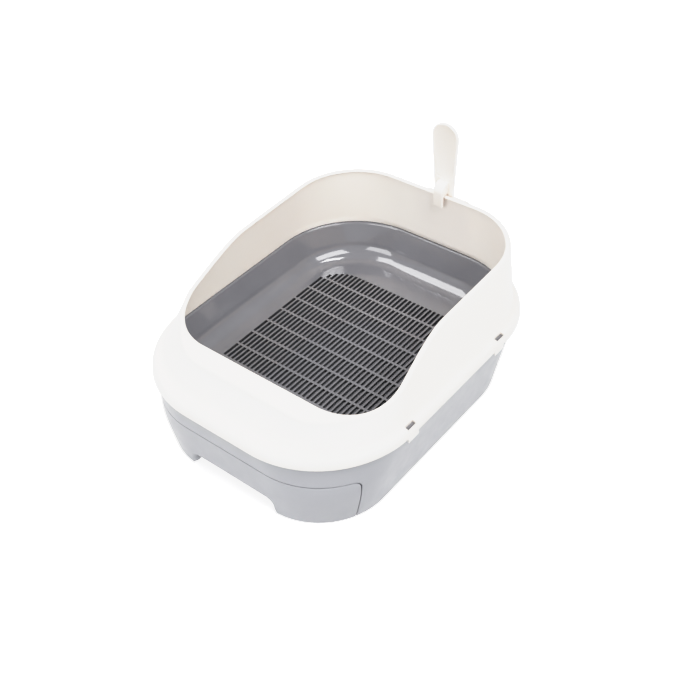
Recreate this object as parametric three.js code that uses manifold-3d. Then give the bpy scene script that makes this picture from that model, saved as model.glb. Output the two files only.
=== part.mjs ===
// Cat litter box: a tapered base with a waste drawer in its front, a sifting pan that drops into the
// base, a high surround ("hood") with a low front entry that sits on the pan, and a scoop that hangs
// on the surround's back edge. Millimetres, +Z up, the entry faces -Y, Z = 0 is the floor.

import * as THREE from 'three';
import { mergeGeometries, mergeVertices } from 'three/addons/utils/BufferGeometryUtils.js';
import Module from 'manifold-3d';

const wasm = await Module();
wasm.setup();

// ---------------------------------------------------------------- driving dimensions

const GAP = 0.4; // clearance between mouldings that rest on each other
const SEAM = 0.7; // visible seam round the drawer front
const PAST = 20; // how far a cutting solid runs past what it cuts
const OVERLAP = 1; // how far two solids run into each other before they are joined or cut
const ROUND_STEPS = 16; // sides of a round boss or pad

// Every plan outline is a rounded rectangle: half width, front and back edges, the radii of its front
// and back corners, and its height.
const plan = (halfWidth, front, back, frontRadius, backRadius, z) => ({
  halfWidth,
  front,
  back,
  frontRadius,
  backRadius,
  z,
});

// The skirt's lower edge: the largest outline of the box.
const SKIRT = plan(205, -255.5, 250, 147, 136, 116);
const SKIRT_WALL = 2.6;

// Base: outlines of its outside from the foot to its top edge. Its front corners are the fuller ones.
const BASE_LEVELS = [
  plan(176.5, -240.5, 222, 106, 116, 0.8),
  plan(180, -242, 225.6, 105, 118.2, 20),
  plan(187.5, -245.2, 233.5, 110, 122.9, 60),
  plan(194.1, -247.4, 240.1, 129, 126.9, 95),
  plan(199.6, -248.8, 246, 143, 130.5, 124),
];
const BASE_FOOT = BASE_LEVELS[0];
const BASE_TOP = BASE_LEVELS[BASE_LEVELS.length - 1];
const BASE_WALL = 3;
const BASE_EDGE = { drop: 1, outside: 0.8, inside: 0.6 }; // chamfers along its top edge
const DECK_Z = 12; // top of the base's raised floor
const DECK_THICKNESS = 3;
const DECK_FRONT = -204;
const TONGUE = { halfWidth: 136, behind: 6 }; // the deck between the drawer front's two wings
const GUIDE = { x: 154, width: 2.5, height: 8, front: -170, back: 150 };

// Drawer.
const PANEL_SIDE_Y = -182; // where the wrap-round front ends on each side
const PANEL_TOP_Z = 78.5;
const PANEL_CORNER = 10;
const PANEL_FOOT_Z = 0.8;
const PANEL_WALL = 3;
const TRAY_TOP_Z = 62;
const TRAY = plan(150, -219, 204, 84, 84, TRAY_TOP_Z);
const TRAY_WALL = 2.4;
const TRAY_FLOOR = 2.6;
const TRAY_FOOT_CHAMFER = 2;
const TRAY_INSIDE_CHAMFER = 4;
const ARCH = { halfWidth: 71, height: 22, radius: 9, footRadius: 4, lip: 2.6 };
const WEB = { x: 112, thickness: 2.6, foot: 26, top: 58 };

// Sieve pan.
const PAN_RIM_Z = 126.8;
const PAN_RIM = plan(190.5, -235.5, 235.8, 115, 130, PAN_RIM_Z);
const FLANGE = plan(198.8, -248.2, 244.4, 140.4, 129.6, PAN_RIM_Z);
const FLANGE_THICKNESS = 2.4;
const FLANGE_EDGE = { drop: 0.4, inset: 1 };
const SIEVE_Z = 74;
const SIEVE_DEPTH = 6;
const SLOT_PITCH = 7.5;
const SLOT_WIDTH = 5;
const SLOT_COLUMNS = 37;
const SLOT_ROWS = 9;
const ROW_PITCH = 32.6;
const CROSSBAR = 3.6;
const SIEVE_BACK = 152.8;
const SIEVE_CORNER = 52;
const SHORTEST_SLOT = 6;

// Hood: its free edge is a rounded rectangle in plan and an S-curve in side view.
const EDGE_FRONT_Z = 158;
const EDGE_SIDE_Z = 219.5;
const EDGE_BACK_Z = 227;
const EDGE = plan(169.5, -169, 225.5, 76, 95, EDGE_BACK_Z);
const RISE_START_Y = -172;
const RISE_END_Y = 6;
const EDGE_LEAN = 0.158; // how much wider the edge gets for each millimetre that it is lower
const LIP_WIDTH = 7.5;
const STEP_WIDTH = 23; // extra width of the front landing
const STEP_FLAT_X = 80;
const STEP_END_X = 150;
const STEP_FALL = 0.2;
const TAB_Y = [-105, 98];
const TAB = { length: 22, drop: 6.5, thickness: 2.2, recess: 0.1 };
const WINDOW_Y = [-104.5, 104.5];
const WINDOW = { length: 17.5, width: 6, x: 198.8, height: 17 };

// Scoop.
const SCOOP_X = 15;
const HANDLE = { y: 237, thickness: 4, topZ: 340, topRadius: 21.5 };
const HANDLE_FOOT = { halfWidth: 16, straightTopZ: 230, z: 216 };
const DISH = { rim: 2.4, footZ: 252, depth: 1.4 };
const HOOK = { halfWidth: 8, innerY: 219.6, legThickness: 4.4, legFootZ: 210, bendZ: 232 };
const BOWL_WALL = 2.2;
const BOWL_SLOTS = { count: 7, pitch: 10.4, width: 5, footZ: 136, topZ: 188 };
const BOWL_SIDE_TOP = 190; // the bowl's side walls start to fall away here, and end near its back
const BOWL_SIDE_END = { z: 150, fromBack: 10, tipZ: 108, tipFromBack: 5 };

// The bowl's outside from its back to its open front: depth, height of its top and of its tip, half
// widths at the shoulder and at the tip.
const BOWL_LEVELS = [
  { y: 262, topZ: 192, bottomZ: 124, halfWidth: 37, tipHalfWidth: 33 },
  { y: 260.4, topZ: 200, bottomZ: 118, halfWidth: 42, tipHalfWidth: 37 },
  { y: 254, topZ: 210, bottomZ: 114, halfWidth: 45.5, tipHalfWidth: 40.5 },
  { y: 235, topZ: 221, bottomZ: 112, halfWidth: 49, tipHalfWidth: 43 },
];
const BOWL_CORNER = { shoulder: 18, tip: 12 };

// Rubber pads under the base's corners.
const PAD = { radius: 9, thickness: 1.6, x: 128, frontY: -150, backY: 146 };
const PAD_BOSS_RADIUS = 11;

// ---------------------------------------------------------------- materials

const WHITE = { color: 0xf4f2ef, roughness: 0.35, metalness: 0 };
const SILVER_GREY = { color: 0xc5c7cb, roughness: 0.38, metalness: 0 };
const PAN_GREY = { color: 0x86868b, roughness: 0.16, metalness: 0 };
const RUBBER = { color: 0x4b4c50, roughness: 0.9, metalness: 0 };

// ---------------------------------------------------------------- booleans

function solidOf(geometry) {
  const bare = geometry.clone();
  bare.deleteAttribute('normal');
  bare.deleteAttribute('uv');
  const merged = mergeVertices(bare, 1e-4);
  return new wasm.Manifold(
    new wasm.Mesh({
      numProp: 3,
      vertProperties: Float32Array.from(merged.attributes.position.array),
      triVerts: Uint32Array.from(merged.index.array),
    })
  );
}

function geometryOf(solid) {
  const mesh = solid.getMesh();
  const geometry = new THREE.BufferGeometry();
  geometry.setAttribute('position', new THREE.BufferAttribute(Float32Array.from(mesh.vertProperties), 3));
  geometry.setIndex(new THREE.BufferAttribute(Uint32Array.from(mesh.triVerts), 1));
  return geometry;
}

function joined(geometries) {
  return solidOf(mergeGeometries(geometries));
}

function box(low, high) {
  const size = high.map((value, axis) => value - low[axis]);
  const geometry = new THREE.BoxGeometry(...size);
  return geometry.translate(...low.map((value, axis) => value + size[axis] / 2));
}

// ---------------------------------------------------------------- outlines and lofts

function ramp(value, start, end) {
  const t = THREE.MathUtils.clamp((value - start) / (end - start), 0, 1);
  return t * t * (3 - 2 * t);
}

// Walks a rounded rectangle counter-clockwise from the front end of its right side. Every outline
// made with the same steps has matching stations, so any two of them can be joined by a strip.
function outline({ halfWidth, front, back, frontRadius, backRadius }, steps) {
  const backCorner = { x: halfWidth - backRadius, y: back - backRadius, radius: backRadius };
  const frontCorner = { x: halfWidth - frontRadius, y: front + frontRadius, radius: frontRadius };
  const corners = [
    { ...backCorner, start: 0, run: steps.end },
    { ...backCorner, x: -backCorner.x, start: 90, run: steps.side },
    { ...frontCorner, x: -frontCorner.x, start: 180, run: steps.end },
    { ...frontCorner, start: 270, run: steps.side },
  ];
  const stations = [];
  corners.forEach((corner, index) => {
    const next = corners[(index + 1) % corners.length];
    for (let step = 0; step <= steps.arc; step += 1) {
      const angle = THREE.MathUtils.degToRad(corner.start + (90 * step) / steps.arc);
      const normal = [Math.cos(angle), Math.sin(angle)];
      stations.push({
        x: corner.x + corner.radius * normal[0],
        y: corner.y + corner.radius * normal[1],
        normal,
      });
    }
    const from = stations[stations.length - 1];
    const to = { x: next.x + next.radius * from.normal[0], y: next.y + next.radius * from.normal[1] };
    for (let step = 1; step < corner.run; step += 1) {
      const t = step / corner.run;
      stations.push({
        x: THREE.MathUtils.lerp(from.x, to.x, t),
        y: THREE.MathUtils.lerp(from.y, to.y, t),
        normal: from.normal,
      });
    }
  });
  return stations;
}

function ring(shape, steps) {
  return outline(shape, steps).map(({ x, y }) => new THREE.Vector3(x, y, shape.z));
}

// The plan grown outwards by a distance and moved to another height.
function grown({ halfWidth, front, back, frontRadius, backRadius }, distance, z) {
  return plan(
    halfWidth + distance,
    front - distance,
    back + distance,
    frontRadius + distance,
    backRadius + distance,
    z
  );
}

// The plan at a height between two others.
function blended(low, high, z) {
  const t = (z - low.z) / (high.z - low.z);
  const mix = (key) => THREE.MathUtils.lerp(low[key], high[key], t);
  return plan(mix('halfWidth'), mix('front'), mix('back'), mix('frontRadius'), mix('backRadius'), z);
}

// Strips between each ring and the next. An open loft is closed by fans over its first and last
// rings; a closed loft joins its last ring to its first.
function loft(rings, closed) {
  const count = rings[0].length;
  const points = rings.flat();
  const faces = [];
  const strips = closed ? rings.length : rings.length - 1;
  for (let level = 0; level < strips; level += 1) {
    const low = level * count;
    const high = ((level + 1) % rings.length) * count;
    for (let station = 0; station < count; station += 1) {
      const next = (station + 1) % count;
      faces.push(low + station, low + next, high + next);
      faces.push(low + station, high + next, high + station);
    }
  }
  if (!closed) {
    const sum = (list) => list.reduce((total, point) => total.add(point), new THREE.Vector3());
    const middle = (list) => sum(list).divideScalar(count);
    const first = points.push(middle(rings[0])) - 1;
    const last = points.push(middle(rings[rings.length - 1])) - 1;
    const top = (rings.length - 1) * count;
    for (let station = 0; station < count; station += 1) {
      const next = (station + 1) % count;
      faces.push(first, next, station);
      faces.push(last, top + station, top + next);
    }
  }
  const geometry = new THREE.BufferGeometry().setFromPoints(points);
  geometry.setIndex(faces);
  return geometry;
}

// A flat outline pushed along X or Y. Its points are (y, z) pairs for X and (x, z) pairs for Y.
function prism(points, axis, from, to) {
  const shape = new THREE.Shape(points.map(([a, b]) => new THREE.Vector2(a, b)));
  const geometry = new THREE.ExtrudeGeometry(shape, { depth: to - from, bevelEnabled: false });
  const place = new THREE.Matrix4();
  if (axis === 'x') {
    place.set(0, 0, 1, from, 1, 0, 0, 0, 0, 1, 0, 0, 0, 0, 0, 1);
  } else {
    place.set(1, 0, 0, 0, 0, 0, -1, to, 0, 1, 0, 0, 0, 0, 0, 1);
  }
  return geometry.applyMatrix4(place);
}

function arcPoints(cx, cy, radius, startDegrees, endDegrees, steps) {
  return Array.from({ length: steps + 1 }, (_, step) => {
    const angle = THREE.MathUtils.degToRad(THREE.MathUtils.lerp(startDegrees, endDegrees, step / steps));
    return [cx + radius * Math.cos(angle), cy + radius * Math.sin(angle)];
  });
}

// ---------------------------------------------------------------- base shell

const BASE_STEPS = { arc: 8, side: 2, end: 2 };

function baseOutside(z, inset) {
  const upper = BASE_LEVELS.slice(1, -1).find((level) => level.z >= z) ?? BASE_TOP;
  const lower = BASE_LEVELS[BASE_LEVELS.indexOf(upper) - 1];
  return grown(blended(lower, upper, z), -inset, z);
}

// Rings round the base's wall between two heights, with one at each level in between.
function baseRings(fromZ, toZ, inset) {
  const between = BASE_LEVELS.map((level) => level.z).filter((z) => z > fromZ && z < toZ);
  return [fromZ, ...between, toZ].map((z) => ring(baseOutside(z, inset), BASE_STEPS));
}

// Side view of the drawer's front: it ends at PANEL_SIDE_Y, with a rounded top corner.
function panelProfile(clearance) {
  const side = PANEL_SIDE_Y + clearance;
  const top = PANEL_TOP_Z + clearance;
  const radius = PANEL_CORNER + clearance;
  const corner = arcPoints(side - radius, top - radius, radius, 0, 90, 4);
  return [[SKIRT.front - PAST, -PAST], [side, -PAST], ...corner, [SKIRT.front - PAST, top]];
}

function makeBaseShell() {
  const edgeFoot = BASE_TOP.z - BASE_EDGE.drop;
  const shell = solidOf(
    loft(
      [
        ...baseRings(BASE_FOOT.z, edgeFoot, 0),
        ring(baseOutside(BASE_TOP.z, BASE_EDGE.outside), BASE_STEPS),
        ring(baseOutside(BASE_TOP.z, BASE_WALL - BASE_EDGE.inside), BASE_STEPS),
        ...baseRings(BASE_FOOT.z, edgeFoot, BASE_WALL).reverse(),
      ],
      true
    )
  );
  const deck = solidOf(
    loft(
      [
        ring(baseOutside(DECK_Z - DECK_THICKNESS, BASE_WALL / 2), BASE_STEPS),
        ring(baseOutside(DECK_Z, BASE_WALL / 2), BASE_STEPS),
      ],
      false
    )
  );
  const guides = [-1, 1].map((side) => {
    const edges = [side * GUIDE.x, side * (GUIDE.x + GUIDE.width)].sort((a, b) => a - b);
    const low = [edges[0], GUIDE.front, DECK_Z - OVERLAP];
    return box(low, [edges[1], GUIDE.back, DECK_Z + GUIDE.height]);
  });
  const bosses = padPlaces().map(({ x, y }) => {
    const height = DECK_Z - OVERLAP - (PAD.thickness + GAP);
    const boss = new THREE.CylinderGeometry(PAD_BOSS_RADIUS, PAD_BOSS_RADIUS, height, ROUND_STEPS);
    return boss.rotateX(Math.PI / 2).translate(x, y, PAD.thickness + GAP + height / 2);
  });
  const mouth = solidOf(prism(panelProfile(SEAM), 'x', -SKIRT.halfWidth, SKIRT.halfWidth));
  const beforeDeck = [-SKIRT.halfWidth, SKIRT.front, DECK_Z - DECK_THICKNESS - PAST];
  const deckFront = solidOf(box(beforeDeck, [SKIRT.halfWidth, DECK_FRONT, DECK_Z + PAST]));
  return shell
    .add(deck.subtract(deckFront))
    .subtract(mouth)
    .add(frontTongue(deck, deckFront))
    .add(joined(guides))
    .add(joined(bosses));
}

// The deck runs forward under the tray, through the mouth, as far as the finger arch's back.
function frontTongue(deck, deckFront) {
  const tongue = solidOf(
    box(
      [-TONGUE.halfWidth, DECK_FRONT - OVERLAP, DECK_Z - DECK_THICKNESS],
      [TONGUE.halfWidth, PANEL_SIDE_Y + TONGUE.behind, DECK_Z]
    )
  );
  return tongue.intersect(deck).subtract(deckFront);
}

// ---------------------------------------------------------------- drawer

const TRAY_STEPS = { arc: 6, side: 1, end: 1 };

// The finger arch's opening in front view, or the same grown by the thickness of its lip. The
// panel's corners at its foot are rounded off.
function archPoints(grow) {
  const top = ARCH.height - ARCH.radius;
  const corner = ARCH.halfWidth - ARCH.radius;
  const foot = ARCH.halfWidth + ARCH.footRadius;
  const footZ = PANEL_FOOT_Z + ARCH.footRadius;
  return [
    [-foot, -PAST],
    [foot, -PAST],
    ...arcPoints(foot, footZ, ARCH.footRadius - grow, 270, 180, 3),
    ...arcPoints(corner, top, ARCH.radius + grow, 0, 90, 4),
    ...arcPoints(-corner, top, ARCH.radius + grow, 90, 180, 4),
    ...arcPoints(-foot, footZ, ARCH.footRadius - grow, 0, -90, 3),
  ];
}

function makeDrawerPanel() {
  const skin = solidOf(
    loft(
      [
        ...baseRings(PANEL_FOOT_Z, PANEL_TOP_Z + OVERLAP, 0),
        ...baseRings(PANEL_FOOT_Z, PANEL_TOP_Z + OVERLAP, PANEL_WALL).reverse(),
      ],
      true
    )
  );
  const profile = solidOf(prism(panelProfile(0), 'x', -SKIRT.halfWidth, SKIRT.halfWidth));
  const filled = solidOf(
    loft(baseRings(PANEL_FOOT_Z, PANEL_TOP_Z, PANEL_WALL / 2), false)
  );
  const lipBack = TRAY.front + TRAY_WALL / 2;
  const lip = solidOf(prism(archPoints(ARCH.lip), 'y', SKIRT.front, lipBack));
  const webs = [-1, 1].map((side) => {
    const middle = side * WEB.x;
    const half = WEB.thickness / 2;
    return box([middle - half, SKIRT.front, WEB.foot], [middle + half, trayFrontAt(WEB.x), WEB.top]);
  });
  const arch = solidOf(prism(archPoints(0), 'y', SKIRT.front, lipBack + TRAY_WALL));
  return skin
    .intersect(profile)
    .add(lip.add(joined(webs)).intersect(filled))
    .subtract(arch);
}

// How far forward the tray's rounded front corner reaches at a distance from the middle, with a
// little overlap into its wall.
function trayFrontAt(x) {
  const beyond = x - (TRAY.halfWidth - TRAY.frontRadius);
  const back = TRAY.frontRadius - Math.sqrt(TRAY.frontRadius ** 2 - beyond ** 2);
  return TRAY.front + back + TRAY_WALL / 2;
}

function makeDrawer() {
  const footZ = DECK_Z + GAP;
  const floorZ = footZ + TRAY_FLOOR;
  const tray = solidOf(
    loft(
      [
        ring(grown(TRAY, -TRAY_FOOT_CHAMFER, footZ), TRAY_STEPS),
        ring(grown(TRAY, 0, footZ + TRAY_FOOT_CHAMFER), TRAY_STEPS),
        ring(grown(TRAY, 0, TRAY_TOP_Z), TRAY_STEPS),
        ring(grown(TRAY, -TRAY_WALL, TRAY_TOP_Z), TRAY_STEPS),
        ring(grown(TRAY, -TRAY_WALL, floorZ + TRAY_INSIDE_CHAMFER), TRAY_STEPS),
        ring(grown(TRAY, -TRAY_WALL - TRAY_INSIDE_CHAMFER, floorZ), TRAY_STEPS),
      ],
      false
    )
  );
  return tray.add(makeDrawerPanel());
}

// ---------------------------------------------------------------- sieve pan

const PAN_STEPS = { arc: 7, side: 2, end: 2 };

// The pan's inside from the rim down to the floor: how far it has come in, and its height.
const PAN_INSIDE = [
  [0, PAN_RIM_Z],
  [1.7, PAN_RIM_Z - 2.2],
  [12.5, 98],
  [16, 89.5],
  [22, 82],
  [30.5, 76.6],
  [40.5, SIEVE_Z + 0.3],
  [44.5, SIEVE_Z],
];

// The pan's outside from the sieve's underside up to the flange.
const PAN_OUTSIDE = [
  [47, SIEVE_Z - SIEVE_DEPTH],
  [45.5, 69.6],
  [39, 71.9],
  [29.3, 74.1],
  [20, 79.8],
  [13.4, 88.2],
  [9.7, 97.4],
  [-0.8, PAN_RIM_Z - FLANGE_THICKNESS],
];

function sieveSlots() {
  const halfField = (SLOT_COLUMNS * SLOT_PITCH) / 2;
  const length = ROW_PITCH - CROSSBAR;
  const slots = [];
  for (let column = 0; column < SLOT_COLUMNS; column += 1) {
    const x = (column - (SLOT_COLUMNS - 1) / 2) * SLOT_PITCH;
    const intoCorner = Math.max(0, SIEVE_CORNER - (halfField - Math.abs(x)));
    const shortfall = SIEVE_CORNER - Math.sqrt(SIEVE_CORNER ** 2 - intoCorner ** 2);
    const fieldBack = SIEVE_BACK - shortfall;
    const fieldFront = SIEVE_BACK - SLOT_ROWS * ROW_PITCH + CROSSBAR + shortfall;
    for (let row = 0; row < SLOT_ROWS; row += 1) {
      const back = Math.min(SIEVE_BACK - row * ROW_PITCH, fieldBack);
      const front = Math.max(SIEVE_BACK - row * ROW_PITCH - length, fieldFront);
      if (back - front >= SHORTEST_SLOT) {
        slots.push(
          box(
            [x - SLOT_WIDTH / 2, front, SIEVE_Z - SIEVE_DEPTH - OVERLAP],
            [x + SLOT_WIDTH / 2, back, SIEVE_Z + OVERLAP]
          )
        );
      }
    }
  }
  return slots;
}

function makeSievePan() {
  const outside = PAN_OUTSIDE.map(([inset, z]) => ring(grown(PAN_RIM, -inset, z), PAN_STEPS));
  const flange = [
    ring(grown(FLANGE, 0, PAN_RIM_Z - FLANGE_THICKNESS), PAN_STEPS),
    ring(grown(FLANGE, 0, PAN_RIM_Z - FLANGE_EDGE.drop), PAN_STEPS),
    ring(grown(FLANGE, -FLANGE_EDGE.inset, PAN_RIM_Z), PAN_STEPS),
  ];
  const inside = PAN_INSIDE.map(([inset, z]) => ring(grown(PAN_RIM, -inset, z), PAN_STEPS));
  return solidOf(loft([...outside, ...flange, ...inside], false)).subtract(joined(sieveSlots()));
}

// ---------------------------------------------------------------- hood

const HOOD_STEPS = { arc: 7, side: 11, end: 4 };

// Outside of the skirt, shoulder and wall foot, from the bottom up. The valley between shoulder and
// wall lies further in at the front, where the wall becomes a sloping apron.
const SHOULDER = [
  SKIRT,
  plan(204.4, -254.9, 249.4, 146.4, 135.4, 123.6),
  plan(203.2, -253.4, 248.2, 145.1, 134.1, 127.4),
  plan(201, -250.4, 246, 142.6, 131.8, 129.8),
  plan(196.6, -232.4, 241, 126.5, 126.5, 130.8),
  plan(194.2, -227, 238.4, 123, 123, 133),
  plan(192.6, -222.5, 236.4, 120, 120, 137.5),
];

// The matching inside surface, from the wall foot down to the skirt's lower edge. The flat part
// between the foot and the skirt rests on the pan's flange.
const SHOULDER_INSIDE = [
  plan(190, -220.5, 233.8, 117.5, 120, 136.2),
  plan(190.6, -224.5, 236, 119, 126, 131),
  plan(191.4, -231, 238, 122, 132, PAN_RIM_Z + GAP),
  plan(200.2, -250, 245.2, 141.6, 131, PAN_RIM_Z + GAP),
  plan(201.2, -251.8, 246.2, 142.9, 132.1, 125.9),
  plan(201.9, -252.5, 246.9, 143.9, 132.9, 122.8),
  grown(SKIRT, -SKIRT_WALL, SKIRT.z),
];

function edgeHeight(y) {
  const slope = (EDGE_BACK_Z - EDGE_SIDE_Z) / (EDGE.back - RISE_END_Y);
  const high = EDGE_SIDE_Z + slope * (y - RISE_END_Y);
  return THREE.MathUtils.lerp(EDGE_FRONT_Z, high, ramp(y, RISE_START_Y, RISE_END_Y));
}

// Width of the top surface between the free edge and the outside: a narrow lip on the sides and
// back that widens into a landing across the front.
function lipWidth(x, y) {
  return y < EDGE.front + EDGE.frontRadius
    ? LIP_WIDTH + STEP_WIDTH * (1 - ramp(Math.abs(x), STEP_FLAT_X, STEP_END_X))
    : LIP_WIDTH;
}

// A line at a distance out from the free edge and a distance below the top surface. The distance is
// counted from the edge, or back from the outside when it is negative.
function edgeLine(distance, below) {
  return outline(EDGE, HOOD_STEPS).map(({ x, y, normal }) => {
    const z = edgeHeight(y);
    const wide = 1 + (EDGE_LEAN * (EDGE_BACK_Z - z)) / EDGE.halfWidth;
    const width = lipWidth(x, y);
    const out = distance < 0 ? width + distance : distance;
    const fall = (STEP_FALL * (width - LIP_WIDTH) * out) / width;
    return new THREE.Vector3(x * wide + out * normal[0], y + out * normal[1], z - fall - below);
  });
}

// Section of the wall's top: the distance and the drop of each line, from the outside over the top
// surface and the free edge to the wall's inside.
const AT_OUTSIDE = -1e-6;
const EDGE_SECTION = [
  [AT_OUTSIDE, 4],
  [-0.9, 1.3],
  [-3.2, 0],
  [1.6, 0],
  [0.2, 1.3],
  [0.6, 3.2],
  [-2.9, 4],
];

function makeHood() {
  const shell = solidOf(
    loft(
      [
        ...SHOULDER.map((level) => ring(level, HOOD_STEPS)),
        ...EDGE_SECTION.map(([distance, below]) => edgeLine(distance, below)),
        ...SHOULDER_INSIDE.map((level) => ring(level, HOOD_STEPS)),
      ],
      true
    )
  );
  const tabs = [];
  const windows = [];
  for (const side of [-1, 1]) {
    const tabOutside = SKIRT.halfWidth - TAB.recess;
    const tabInside = SKIRT.halfWidth - TAB.thickness;
    const tabEdges = [side * tabInside, side * tabOutside].sort((a, b) => a - b);
    for (const y of TAB_Y) {
      const low = [tabEdges[0], y - TAB.length / 2, SKIRT.z - TAB.drop];
      const high = [tabEdges[1], y + TAB.length / 2, SKIRT.z + OVERLAP];
      tabs.push(box(low, high));
    }
    for (const y of WINDOW_Y) {
      const middle = side * WINDOW.x;
      const low = [middle - WINDOW.width / 2, y - WINDOW.length / 2, SKIRT.z];
      const high = [middle + WINDOW.width / 2, y + WINDOW.length / 2, SKIRT.z + WINDOW.height];
      windows.push(box(low, high));
    }
  }
  return shell.add(joined(tabs)).subtract(joined(windows));
}

// ---------------------------------------------------------------- scoop

// Front view of the handle: a round top, narrowing to the bowl.
function handlePoints(grow) {
  const radius = HANDLE.topRadius + grow;
  const foot = HANDLE_FOOT.halfWidth + grow;
  return [
    [-foot, HANDLE_FOOT.z],
    [foot, HANDLE_FOOT.z],
    [foot, HANDLE_FOOT.straightTopZ],
    ...arcPoints(0, HANDLE.topZ - HANDLE.topRadius, radius, 0, 180, 12),
    [-foot, HANDLE_FOOT.straightTopZ],
  ];
}

// One outline of the bowl: a flat tip with rounded corners and rounded shoulders. It is listed
// from the back, so that a stack of outlines from back to front faces outwards.
function bowlRing({ y, topZ, bottomZ, halfWidth, tipHalfWidth }, inset, depth) {
  const { shoulder, tip } = BOWL_CORNER;
  const shoulderX = halfWidth - shoulder;
  const shoulderZ = topZ - shoulder;
  const tipX = tipHalfWidth - tip;
  const tipZ = bottomZ + tip;
  const points = [
    ...arcPoints(tipX, tipZ, tip - inset, -90, -6, 4),
    ...arcPoints(shoulderX, shoulderZ, shoulder - inset, 0, 86, 5),
    ...arcPoints(-shoulderX, shoulderZ, shoulder - inset, 94, 180, 5),
    ...arcPoints(-tipX, tipZ, tip - inset, 186, 270, 4),
  ];
  return points.map(([x, z]) => new THREE.Vector3(x, y + depth, z));
}

function makeBowl() {
  const front = HANDLE.y - HANDLE.thickness / 2;
  const back = BOWL_LEVELS[0].y;
  const widest = BOWL_LEVELS[BOWL_LEVELS.length - 1].halfWidth;
  const outside = BOWL_LEVELS.map((level) => bowlRing(level, 0, 0));
  const inside = BOWL_LEVELS.map((level) => bowlRing(level, BOWL_WALL, -BOWL_WALL));
  // Side view of what is cut off the side walls: they fall away towards the tip.
  const fallAway = [
    [front - PAST, BOWL_SIDE_TOP],
    [front, BOWL_SIDE_TOP],
    [back - BOWL_SIDE_END.fromBack, BOWL_SIDE_END.z],
    [back - BOWL_SIDE_END.tipFromBack, BOWL_SIDE_END.tipZ],
    [front - PAST, BOWL_SIDE_END.tipZ],
  ];
  const slots = [];
  for (let index = 0; index < BOWL_SLOTS.count; index += 1) {
    const x = (index - (BOWL_SLOTS.count - 1) / 2) * BOWL_SLOTS.pitch;
    const low = [x - BOWL_SLOTS.width / 2, back - BOWL_WALL - OVERLAP, BOWL_SLOTS.footZ];
    const high = [x + BOWL_SLOTS.width / 2, back + OVERLAP, BOWL_SLOTS.topZ];
    slots.push(box(low, high));
  }
  return solidOf(loft(outside, false))
    .subtract(solidOf(loft(inside, false)))
    .subtract(solidOf(prism(fallAway, 'x', -widest, widest)))
    .subtract(joined(slots));
}

// Side view of the hook: a leg inside the hood's wall, bent over its edge into the handle.
function hookPoints() {
  const seatZ = EDGE_BACK_Z + GAP;
  const root = HANDLE.y;
  const radius = HANDLE.y - HANDLE.thickness / 2 - HOOK.innerY;
  return [
    [HOOK.innerY, HOOK.legFootZ],
    [HOOK.innerY + HOOK.legThickness, HOOK.legFootZ],
    [HOOK.innerY + HOOK.legThickness, seatZ],
    [root, seatZ],
    [root, HOOK.bendZ + radius],
    ...arcPoints(HOOK.innerY + radius, HOOK.bendZ, radius, 90, 180, 6),
  ];
}

function makeScoop() {
  const front = HANDLE.y - HANDLE.thickness / 2;
  const back = HANDLE.y + HANDLE.thickness / 2;
  const handle = solidOf(prism(handlePoints(0), 'y', front, back));
  const dishFront = front - OVERLAP;
  const dishOutline = solidOf(prism(handlePoints(-DISH.rim), 'y', dishFront, front + DISH.depth));
  const aboveHook = solidOf(
    box([-HANDLE.topRadius, dishFront, DISH.footZ], [HANDLE.topRadius, back, HANDLE.topZ])
  );
  const hook = solidOf(prism(hookPoints(), 'x', -HOOK.halfWidth, HOOK.halfWidth));
  return handle
    .subtract(dishOutline.intersect(aboveHook))
    .add(makeBowl())
    .add(hook);
}

// ---------------------------------------------------------------- rubber pads

function padPlaces() {
  return [
    { name: 'anti_slip_pad_front_left', x: -PAD.x, y: PAD.frontY },
    { name: 'anti_slip_pad_front_right', x: PAD.x, y: PAD.frontY },
    { name: 'anti_slip_pad_rear_left', x: -PAD.x, y: PAD.backY },
    { name: 'anti_slip_pad_rear_right', x: PAD.x, y: PAD.backY },
  ];
}

function makePad() {
  const geometry = new THREE.CylinderGeometry(PAD.radius, PAD.radius, PAD.thickness, ROUND_STEPS);
  return solidOf(geometry.rotateX(Math.PI / 2).translate(0, 0, PAD.thickness / 2));
}

// ---------------------------------------------------------------- assembly

function part(name, solid, finish, position = [0, 0, 0]) {
  const geometry = geometryOf(solid);
  geometry.computeVertexNormals();
  const mesh = new THREE.Mesh(geometry, new THREE.MeshStandardMaterial(finish));
  mesh.name = name;
  mesh.position.set(...position);
  return mesh;
}

const group = new THREE.Group();
group.add(part('base_shell', makeBaseShell(), SILVER_GREY));
group.add(part('drawer', makeDrawer(), SILVER_GREY));
group.add(part('sieve_pan', makeSievePan(), PAN_GREY));
group.add(part('hood', makeHood(), WHITE));
group.add(part('scoop', makeScoop(), WHITE, [SCOOP_X, 0, 0]));
for (const { name, x, y } of padPlaces()) {
  group.add(part(name, makePad(), RUBBER, [x, y, 0]));
}

export default group;
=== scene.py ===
# Cat litter box: tapered base with a waste drawer, glossy sifting pan, high white surround with a low
# front entry, and a white scoop hanging on its back edge. Every piece is rebuilt as a fine mesh from
# the CAD model's driving dimensions, and rides on the same body as the node it stands for. The few
# dimensions that differ from the CAD model on purpose say so beside them.
# Dimensions are in millimetres in the CAD frame: +Z up, the entry faces -Y. Meshes are in metres.

import math
from collections import namedtuple

import bmesh
import bpy
import numpy as np
from mathutils import Matrix, Vector
from mathutils.geometry import tessellate_polygon


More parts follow.
